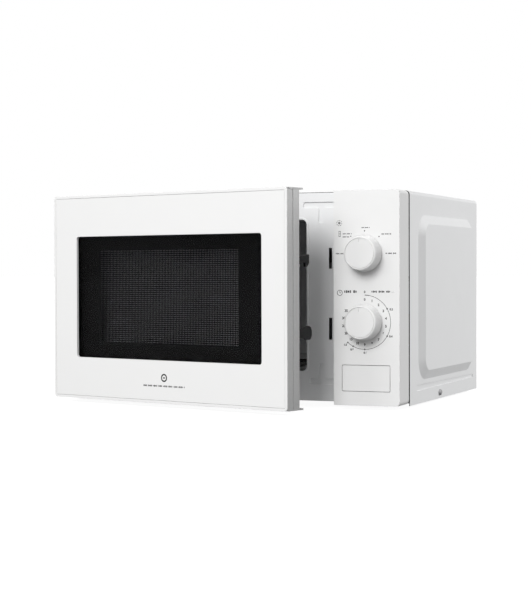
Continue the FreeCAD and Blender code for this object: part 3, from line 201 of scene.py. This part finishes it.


# The Y back to which the cover's front edge gets near-black painted shade for the seam with the panel.
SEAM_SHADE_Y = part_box("outer_cover")[0][1] + 0.3 * MM
COVER_PAINT = cover_paint("cover_paint", (0.86, 0.865, 0.87), SEAM_SHADE_Y)
FRAME_PAINT = surface("frame_enamel", (0.8, 0.805, 0.81), 0.34, mottle=0.01, grain=700.0, bump=0.06, coat=0.2)
CAVITY_PAINT = surface("cavity_enamel", (0.84, 0.845, 0.85), 0.38, mottle=0.03, grain=600.0, bump=0.1,
                       coat=0.2)
SHELL_PAINT = surface("shell_paint", (0.4, 0.4, 0.4), 0.5, metallic=0.3, mottle=0.12, mottle_scale=500.0,
                      grain=900.0, bump=0.3)
WHITE_MOULDING = surface("white_moulding", (0.8, 0.8, 0.797), 0.36, mottle=0.008, grain=1600.0, bump=0.05,
                         coat=0.15)
DIAL_MOULDING = surface("dial_moulding", (0.8, 0.8, 0.797), 0.3, mottle=0.01, grain=1800.0, bump=0.05,
                        coat=0.2)
BLACK_MOULDING = surface("black_moulding", (0.008, 0.008, 0.009), 0.5, mottle=0.1, grain=1500.0, bump=0.15,
                         specular=0.25)
GREY_MOULDING = surface("grey_moulding", (0.32, 0.33, 0.335), 0.48, mottle=0.03, grain=1300.0, bump=0.12)
SCREEN_PAINT = surface("screen_paint", (0.004, 0.004, 0.005), 0.6, mottle=0.1, grain=1200.0, bump=0.1,
                       specular=0.1)
RUBBER = surface("foot_rubber", (0.02, 0.02, 0.021), 0.8, mottle=0.12, grain=1000.0, bump=0.3)
FILM = surface("inner_film", (0.9, 0.9, 0.905), 0.3, mottle=0.08, mottle_scale=25.0, grain=500.0, bump=0.03)
MICA = surface("mica", (0.62, 0.57, 0.47), 0.45, mottle=0.12, mottle_scale=150.0, grain=700.0, bump=0.2)
BOARD = surface("board", (0.42, 0.3, 0.14), 0.5, mottle=0.08, grain=900.0, bump=0.1)
CORE = surface("core_varnish", (0.05, 0.045, 0.04), 0.42, metallic=0.5, mottle=0.15, grain=500.0, bump=0.2)
INK = surface("dark_ink", (0.025, 0.025, 0.026), 0.55, mottle=0.05, grain=1500.0, bump=0.05)
ALUMINIUM = brushed("bare_aluminium", (0.74, 0.75, 0.77), "x")
STEEL = brushed("bright_steel", (0.62, 0.62, 0.63), "z")
GALVANISED = spangled("galvanised", (0.6, 0.61, 0.62))
COPPER = wound("copper_turns", (0.55, 0.24, 0.1))
DARK_GLASS = clear("dark_pane", (0.5, 0.5, 0.51), ior=1.14)
TRAY_GLASS = clear("tray_glass", (0.93, 0.97, 0.96))


# ------------------------------------------------------------------ finishing a CAD node

def smoothing(degrees):
    """A modifier's node group: shades a surface smooth except over edges sharper than an angle."""
    group = bpy.data.node_groups.new(f"smooth_by_{degrees}", "GeometryNodeTree")
    group.interface.new_socket("Geometry", in_out="INPUT", socket_type="NodeSocketGeometry")
    group.interface.new_socket("Geometry", in_out="OUTPUT", socket_type="NodeSocketGeometry")
    entry = group.nodes.new("NodeGroupInput")
    leave = group.nodes.new("NodeGroupOutput")
    angle = group.nodes.new("GeometryNodeInputMeshEdgeAngle")
    gentle = add(group, "ShaderNodeMath", operation="LESS_THAN")
    gentle.inputs[1].default_value = math.radians(degrees)
    faces = add(group, "GeometryNodeSetShadeSmooth", domain="FACE")
    edges = add(group, "GeometryNodeSetShadeSmooth", domain="EDGE")
    group.links.new(entry.outputs[0], faces.inputs["Geometry"])
    group.links.new(faces.outputs[0], edges.inputs["Geometry"])
    group.links.new(angle.outputs["Unsigned Angle"], gentle.inputs[0])
    group.links.new(gentle.outputs[0], edges.inputs["Shade Smooth"])
    group.links.new(edges.outputs[0], leave.inputs[0])
    return group


SMOOTHING = smoothing(30)
CREASED = smoothing(20)


def soften(thing, bevel, shading):
    """Shades a node smooth. Unless bevel is 0, joins its facets into whole faces and rolls sharp edges."""
    if bevel:
        weld = thing.modifiers.new("weld", "WELD")
        weld.merge_threshold = 0.002 * MM
        flatten = thing.modifiers.new("flatten", "DECIMATE")
        flatten.decimate_type = "DISSOLVE"
        flatten.angle_limit = math.radians(0.4)
        roll = thing.modifiers.new("roll", "BEVEL")
        roll.width = bevel * MM
        roll.segments = 2
        roll.limit_method = "ANGLE"
        roll.angle_limit = math.radians(35)
        roll.use_clamp_overlap = True
    shade = thing.modifiers.new("shade", "NODES")
    shade.node_group = shading
    normals = thing.modifiers.new("normals", "WEIGHTED_NORMAL")
    normals.keep_sharp = True


def finish_node(name, coat, bevel, shading=SMOOTHING):
    thing = NODES[name]
    if not thing.material_slots:
        thing.data.materials.append(coat)
    for place in thing.material_slots:
        place.link = "OBJECT"
        place.material = coat
    soften(thing, bevel, shading)


# Each coat, with the nodes that wear it and how far their edges are rolled. The cavity's panels touch along
# their edges, and joining them there would spoil the shading, so they stay as they are.
FINISHES = (
    (GALVANISED, {"base_plate": 0.2, "back_panel": 0.15, "waveguide": 0.3, "turntable_motor": 0.6,
        "motor_cover": 0.2, "timer_power_unit": 0.5, "magnetron_yoke": 0.2, "magnetron_filter_box": 0.3,
        "fan_bracket": 0.2, "choke_frame": 0.2}),
    (RUBBER, {"feet": 0.8}),
    (STEEL, {"case_screws": 0.4, "upper_hinge": 0.3, "lower_hinge": 0.3, "timer_bell": 0.4,
        "power_shaft": 0.3, "timer_shaft": 0.3}),
    (FRAME_PAINT, {"cavity_front_frame": 0.25}),
    (CAVITY_PAINT, {"cavity_shell": 0}),
    (MICA, {"mica_cover": 0.1}),
    (WHITE_MOULDING, {"control_panel": 0.5, "door_frame": 0.45, "door_fascia": 0.35,
        "release_button": 0.6}),
    (GREY_MOULDING, {"latch_board": 0.4, "air_duct": 0.4, "release_lever": 0.4, "drive_coupler": 0.4,
        "roller_ring": 0.5, "roller_1": 0.5, "roller_2": 0.5, "roller_3": 0.5, "fan_blade": 0.3,
        "primary_plunger": 0.3, "secondary_plunger": 0.3, "monitor_plunger": 0.3}),
    (BLACK_MOULDING, {"interlock_switches": 0.4, "hv_diode": 0.3, "cord_gland": 0.5, "choke_cover": 0.6,
        "latch_hooks": 0.45}),
    (ALUMINIUM, {"magnetron_tube": 0.6, "magnetron_fins": 0.1, "hv_capacitor": 1.0,
        "thermal_cutouts": 0.3}),
    (CORE, {"transformer_core": 0.5, "fan_motor": 0.5}),
    (COPPER, {"transformer_windings": 1.5}),
    (TRAY_GLASS, {"oven_lamp": 0.3, "glass_tray": 0.5}),
    (BOARD, {"noise_filter_board": 0.3}),
    (SHELL_PAINT, {"door_shell": 0.4}),
    (DARK_GLASS, {"door_window": 0.3}),
    (FILM, {"door_inner_film": 0.1}),
    (DIAL_MOULDING, {"power_knob": 0.25, "timer_knob": 0.25}),
)
for coat, nodes in FINISHES:
    for name, bevel in nodes.items():
        finish_node(name, coat, bevel)
finish_node("outer_cover", COVER_PAINT, 0.25, CREASED)


# ------------------------------------------------------------------ pieces in general

def joint_named(name):
    return next(joint for joint in frame["joints"] if joint["name"] == name)


def mesh_of(curve):
    """The mesh that a curve or a text makes. The curve itself is thrown away."""
    holder = bpy.data.objects.new("holder", curve)
    bpy.context.scene.collection.objects.link(holder)
    bpy.context.view_layer.update()
    mesh = bpy.data.meshes.new_from_object(holder)
    bpy.data.objects.remove(holder)
    bpy.data.curves.remove(curve)
    return mesh


def mesh_piece(name, mesh, coat, body):
    piece = bpy.data.objects.new(name, mesh)
    bpy.context.scene.collection.objects.link(piece)
    mesh.materials.append(coat)
    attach(piece, body)
    return piece


def door_matrix():
    """From the closed door's place to the place it rests in, ajar about its hinge."""
    hinge = joint_named("door_hinge")
    pivot = Vector(hinge["pos_m"])
    ajar = math.radians(-hinge["range_deg"][0])
    turn = Matrix.Rotation(ajar, 4, Vector(hinge["axis"]))
    return Matrix.Translation(pivot) @ turn @ Matrix.Translation(-pivot)


DOOR = door_matrix()


# ------------------------------------------------------------------ perforated screen

def perforated_screen():
    """The door's steel sheet: rows of eight-sided holes in the middle, plain metal round them."""
    left, right, low, high = -195.8, 117.8, 45.9, 217.0
    field_left, field_right, field_low, field_high = -157.0, 64.0, 76.0, 189.0
    front, thick, pitch, radius, sides = -158.9, 0.5, 2.46, 0.86, 8
    columns = round((field_right - field_left) / pitch)
    rows = round((field_high - field_low) / pitch)
    step_x = (field_right - field_left) / columns
    step_z = (field_high - field_low) / rows
    sheet = bmesh.new()

    def corner(x, z):
        return sheet.verts.new((x, front, z))

    grid = [[corner(field_left + i * step_x, field_low + j * step_z) for j in range(rows + 1)]
            for i in range(columns + 1)]
    turns = [math.radians(k * 360 / sides - 135) for k in range(sides)]
    cell_corners = ((0, 0), (1, 0), (1, 1), (0, 1))
    for i in range(columns):
        for j in range(rows):
            x = field_left + (i + 0.5) * step_x
            z = field_low + (j + 0.5) * step_z
            ring = [corner(x + radius * math.cos(turn), z + radius * math.sin(turn)) for turn in turns]
            cell = [grid[i + a][j + b] for a, b in cell_corners]
            for k in range(4):
                hole = (ring[(2 * k + 2) % sides], ring[2 * k + 1], ring[2 * k])
                sheet.faces.new((cell[k], cell[(k + 1) % 4], *hole))
    outer = [corner(*place) for place in ((left, low), (right, low), (right, high), (left, high))]
    edges = [[grid[i][0] for i in range(columns + 1)], [grid[columns][j] for j in range(rows + 1)],
             [grid[i][rows] for i in range(columns, -1, -1)], [grid[0][j] for j in range(rows, -1, -1)]]
    for k, edge in enumerate(edges):
        sheet.faces.new([outer[k], outer[(k + 1) % 4]] + edge[::-1])
    mesh = bpy.data.meshes.new("door_screen_perforated")
    for vert in sheet.verts:
        vert.co = DOOR @ (vert.co * MM)
    bmesh.ops.recalc_face_normals(sheet, faces=sheet.faces)
    sheet.to_mesh(mesh)
    sheet.free()
    piece = mesh_piece("door_screen_perforated", mesh, SCREEN_PAINT, "door")
    solid = piece.modifiers.new("thickness", "SOLIDIFY")
    solid.thickness = thick * MM
    solid.offset = 0
    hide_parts("door_screen")


perforated_screen()


# ------------------------------------------------------------------ wound springs

STEPS_PER_TURN = 24


def spring(name, node, axis, wire, turns, body):
    """A compression spring wound in its solid's place, which it hides."""
    low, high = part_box(node)
    start, end = low[axis], high[axis]
    others = [k for k in range(3) if k != axis]
    middle = [(low[k] + high[k]) / 2 for k in others]
    half_wire = wire / 2 * MM
    radius = (high[others[0]] - low[others[0]]) / 2 - half_wire
    curve = bpy.data.curves.new(name, "CURVE")
    curve.dimensions = "3D"
    curve.bevel_depth = half_wire
    curve.bevel_resolution = 4
    curve.use_fill_caps = True
    line = curve.splines.new("POLY")
    count = turns * STEPS_PER_TURN
    line.points.add(count)
    for i in range(count + 1):
        angle = 2 * math.pi * i / STEPS_PER_TURN
        point = [0.0, 0.0, 0.0]
        point[axis] = start + half_wire + (end - start - 2 * half_wire) * (i / count)
        point[others[0]] = middle[0] + radius * math.cos(angle)
        point[others[1]] = middle[1] + radius * math.sin(angle)
        line.points[i].co = (*point, 1.0)
    mesh = mesh_of(curve)
    mesh.name = name
    piece = mesh_piece(name, mesh, STEEL, body)
    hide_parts(node)
    seat = list(low)
    seat[axis] = end
    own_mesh(piece)


spring("button_spring_wound", "button_spring", 1, 0.8, 6, "cabinet")
spring("latch_spring_wound", "latch_spring", 2, 0.5, 16, "door")


# ------------------------------------------------------------------ prints on the panel and the door

PANEL_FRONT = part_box("control_panel")[0][1] / MM
DIAL_X = sum(corner[0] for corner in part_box("timer_knob")) / 2 / MM
TIMER_Z = sum(corner[2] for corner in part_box("timer_knob")) / 2 / MM
POWER_Z = sum(corner[2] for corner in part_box("power_knob")) / 2 / MM
FASCIA_FRONT = -172.4
INK_LIFT = 0.03
FONT_SCALE = 1.35
UPRIGHT = Matrix.Rotation(math.pi / 2, 4, "X")


def around(x, z, radius, degrees):
    """A point at a radius, its angle counted clockwise from 12 o'clock."""
    turn = math.radians(degrees)
    return x + radius * math.sin(turn), z + radius * math.cos(turn)


class Print:
    """Flat marks printed on a face that looks along -Y, gathered in one mesh."""

    def __init__(self, front):
        self.y = front - INK_LIFT
        self.marks = bmesh.new()

    def face(self, points):
        self.marks.faces.new([self.marks.verts.new((x * MM, self.y * MM, z * MM)) for x, z in points])

    def bar(self, x, z, width, height):
        left, right = x - width / 2, x + width / 2
        low, high = z - height / 2, z + height / 2
        self.face([(left, low), (right, low), (right, high), (left, high)])

    def dot(self, x, z, radius, sides=16):
        turns = [2 * math.pi * k / sides for k in range(sides)]
        self.face([(x + radius * math.cos(turn), z + radius * math.sin(turn)) for turn in turns])

    def stroke(self, start, end, width):
        a, b = Vector(start), Vector(end)
        along = (b - a).normalized()
        across = Vector((-along.y, along.x)) * width / 2
        self.face([tuple(a - across), tuple(b - across), tuple(b + across), tuple(a + across)])

    def arc(self, x, z, radius, width, first, last):
        """An arc between two angles, counted clockwise from 12 o'clock, in degrees."""
        steps = max(8, round(abs(last - first) / 4))
        inner, outer = radius - width / 2, radius + width / 2
        for k in range(steps):
            a, b = (first + (last - first) * (k + n) / steps for n in (0, 1))
            self.face([around(x, z, inner, a), around(x, z, inner, b),
                       around(x, z, outer, b), around(x, z, outer, a)])

    def words(self, left, right, z, height):
        """A line of small print, too small to read: rows of short marks, with a space after every fourth."""
        step = height * 0.85
        for k in range(round((right - left) / step)):
            if k % 5 != 4:
                width = step * (0.6 + 0.14 * (k % 3))
                self.bar(left + (k + 0.5) * step, z, width, height * (0.85 + 0.25 * (k % 2)))

    def text(self, words, x, z, size):
        """Words centred on a point, drawn with the built-in font."""
        curve = bpy.data.curves.new("words", "FONT")
        curve.body = words
        curve.size = size * FONT_SCALE * MM
        curve.offset = size * 0.06 * MM
        curve.align_x = "CENTER"
        curve.align_y = "CENTER"
        flat = mesh_of(curve)
        flat.transform(Matrix.Translation((x * MM, self.y * MM, z * MM)) @ UPRIGHT)
        self.marks.from_mesh(flat)
        bpy.data.meshes.remove(flat)

    def piece(self, name, body, turn=Matrix()):
        mesh = bpy.data.meshes.new(name)
        self.marks.to_mesh(mesh)
        self.marks.free()
        mesh.transform(turn)
        mesh_piece(name, mesh, INK, body)


def timer_marks(ink):
    """Minutes and weights round the timer knob, and a clock beside it."""
    labels, scale, weights = 26.2, 31.5, 35.6
    minutes = [0, 1, 2, 3, 4, 5, 6, 7, 8, 9, 10, 15, 20, 25, 30, 35]
    for k, label in enumerate(minutes):
        ink.text(str(label), *around(DIAL_X, TIMER_Z, labels, 20 * k), 2.9)
    ink.arc(DIAL_X, TIMER_Z, scale, 0.5, 0, 222)
    ink.arc(DIAL_X, TIMER_Z, scale, 0.8, 0, 10)
    for degrees in (60, 120, 180, 207, 221):
        ink.dot(*around(DIAL_X, TIMER_Z, scale, degrees), 0.95)
    for label, degrees in (("0.2", 65), ("0.4", 117), ("0.6", 179), ("0.8", 206), ("1.0", 222)):
        ink.text(label, *around(DIAL_X, TIMER_Z, weights, degrees), 2.4)
    ink.words(DIAL_X - 25.5, DIAL_X - 9.5, TIMER_Z + 35.5, 2.7)
    ink.text("0", DIAL_X, TIMER_Z + 35, 2.6)
    ink.words(DIAL_X + 8, DIAL_X + 31, TIMER_Z + 35.5, 2.1)
    for k in range(3):
        ink.dot(DIAL_X + 33 + 1.2 * k, TIMER_Z + 34.9, 0.3)
    clock_x, clock_z = DIAL_X - 30.5, TIMER_Z + 34
    ink.arc(clock_x, clock_z, 3.1, 0.6, 0, 360)
    ink.stroke((clock_x, clock_z), (clock_x, clock_z + 2), 0.5)
    ink.stroke((clock_x, clock_z), (clock_x + 1.5, clock_z), 0.5)


def power_marks(ink):
    """Dots and small print round the power knob, with a star and a post beside it."""
    for degrees in (0, 42, 90):
        ink.dot(*around(DIAL_X, POWER_Z, 26.2, degrees), 0.75)
    ink.dot(*around(DIAL_X, POWER_Z, 26.2, -40), 0.7)
    ink.words(DIAL_X - 35.5, DIAL_X - 26.5, POWER_Z, 1.4)
    ink.words(DIAL_X + 28, DIAL_X + 38, POWER_Z, 1.5)
    ink.words(DIAL_X - 4, DIAL_X + 6, POWER_Z + 30, 1.1)
    ink.words(DIAL_X + 20, DIAL_X + 32, POWER_Z + 22.3, 1.2)
    ink.words(DIAL_X - 27, DIAL_X - 16, POWER_Z + 23, 1.2)
    ink.words(DIAL_X - 27, DIAL_X - 19, POWER_Z + 19.4, 1.2)
    star = (DIAL_X - 31, POWER_Z + 35.6)
    for k in range(8):
        ink.arc(*star, 3.1, 0.55, 45 * k, 45 * k + 27)
    for k in range(3):
        ink.stroke(around(*star, 1.7, 60 * k), around(*star, 1.7, 60 * k + 180), 0.6)
    post_x, post_z = DIAL_X - 30.6, POWER_Z + 23
    for side in (-0.9, 0.9):
        ink.stroke((post_x + side, post_z - 3), (post_x + side, post_z + 3), 0.45)
    for step in (-3, 0, 3):
        ink.bar(post_x, post_z + step, 2.4, 0.5)


def dial_print():
    ink = Print(PANEL_FRONT)
    timer_marks(ink)
    power_marks(ink)
    ink.piece("dial_print", "cabinet")


dial_print()


def door_mark():
    """A plain ring round a short bar, over a line of small print, under the window."""
    x, ring_z, words_z, half_width = -40.5, 36.4, 26.5, 33.5
    ink = Print(FASCIA_FRONT)
    ink.arc(x, ring_z, 4.0, 1.7, 0, 360)
    ink.bar(x, ring_z, 3.2, 1.5)
    ink.words(x - half_width, x + half_width, words_z, 1.9)
    ink.piece("door_mark", "door", DOOR)


door_mark()


# ------------------------------------------------------------------ camera, floor and light

def camera():
    """Level with the oven's middle, to its right, looking a little to the left."""
    eye = Vector((780.5, -1938.1, 162.7)) * MM
    yaw, pitch, roll = (math.radians(angle) for angle in (22.222, -1.025, 0.156))
    turn = Matrix.Rotation(yaw, 4, "Z") @ Matrix.Rotation(pitch, 4, "X") @ Matrix.Rotation(roll, 4, "Y")
    lens = bpy.data.cameras.new("camera")
    lens.lens = 96.34
    lens.sensor_width = 36
    lens.clip_start = 0.05
    lens.clip_end = 60
    holder = bpy.data.objects.new("camera", lens)
    holder.matrix_world = Matrix.Translation(eye) @ turn @ Matrix.Rotation(math.pi / 2, 4, "X")
    bpy.context.scene.collection.objects.link(holder)
    bpy.context.scene.camera = holder


def floor():
    """A matt white plane that glows enough to match the studio air, and throws no light on the oven."""
    mesh = bpy.data.meshes.new("floor")
    reach = 40
    corners = [(-reach, -reach, 0), (reach, -reach, 0), (reach, reach, 0), (-reach, reach, 0)]
    mesh.from_pydata(corners, [], [(0, 1, 2, 3)])
    ground = bpy.data.objects.new("floor", mesh)
    made, tree, shader = new_material("floor_white")
    cloud = add(tree, "ShaderNodeTexNoise", Scale=0.6)
    pale = add(tree, "ShaderNodeMapRange")
    pale.inputs["To Min"].default_value = 0.3
    pale.inputs["To Max"].default_value = 0.32
    tree.links.new(cloud.outputs["Fac"], pale.inputs["Value"])
    tree.links.new(pale.outputs["Result"], shader.inputs["Base Color"])
    shader.inputs["Roughness"].default_value = 0.9
    shader.inputs["Specular IOR Level"].default_value = 0.1
    shader.inputs["Emission Color"].default_value = (1, 1, 1, 1)
    shader.inputs["Emission Strength"].default_value = 0.92
    mesh.materials.append(made)
    ground.visible_diffuse = False
    ground.visible_glossy = False
    bpy.context.scene.collection.objects.link(ground)


def lamp(name, place, aim, size, power, spared=()):
    """A square soft light, placed and sized in metres. The spared objects aren't lit by it."""
    light = bpy.data.lights.new(name, "AREA")
    light.shape = "RECTANGLE"
    light.size = light.size_y = size
    light.energy = power
    holder = bpy.data.objects.new(name, light)
    holder.location = place
    holder.rotation_mode = "QUATERNION"
    holder.rotation_quaternion = (Vector(aim) - Vector(place)).to_track_quat("-Z", "Y")
    bpy.context.scene.collection.objects.link(holder)
    if spared:
        unlit = bpy.data.collections.new(name + "_unlit")
        for thing in spared:
            unlit.objects.link(thing)
        for entry in unlit.collection_objects:
            entry.light_linking.link_state = "EXCLUDE"
        holder.light_linking.receiver_collection = unlit


def studio_air():
    """White where it is seen. What lights the oven is bright overhead and fades to dark below."""
    world = bpy.data.worlds.new("studio")
    world.use_nodes = True
    tree = world.node_tree
    back = tree.nodes["Background"]
    seen = add(tree, "ShaderNodeLightPath")
    place = add(tree, "ShaderNodeTexCoord")
    parts = add(tree, "ShaderNodeSeparateXYZ")
    sky = add(tree, "ShaderNodeMapRange")
    for end, level in (("From Min", -1.0), ("From Max", 1.0), ("To Min", 0.12), ("To Max", 0.78)):
        sky.inputs[end].default_value = level
    strength = add(tree, "ShaderNodeMix", data_type="FLOAT")
    strength.inputs[MIX_VALUE_B].default_value = 1.0
    link = tree.links.new
    link(place.outputs["Generated"], parts.inputs["Vector"])
    link(parts.outputs["Z"], sky.inputs["Value"])
    link(seen.outputs["Is Camera Ray"], strength.inputs[MIX_FACTOR])
    link(sky.outputs["Result"], strength.inputs[MIX_VALUE_A])
    link(strength.outputs[MIX_VALUE_RESULT], back.inputs["Strength"])
    back.inputs["Color"].default_value = (1, 1, 1, 1)
    bpy.context.scene.world = world


def lights():
    """Two soft lamps for the front, one of them kept off the cover, and one for the cover's right side."""
    oven_front, cover_side = (0, -0.15, 0.14), (0.2, 0, 0.13)
    lamp("front", (-0.1, -2.75, 1.6), oven_front, 1.3, 61, [NODES["outer_cover"]])
    lamp("left", (-1.9, -2.7, 1.7), oven_front, 0.8, 17)
    lamp("side", (3.0, 2.2, 1.3), cover_side, 1.4, 62)


camera()
floor()
studio_air()
lights()
bpy.context.scene.view_settings.view_transform = "Standard"
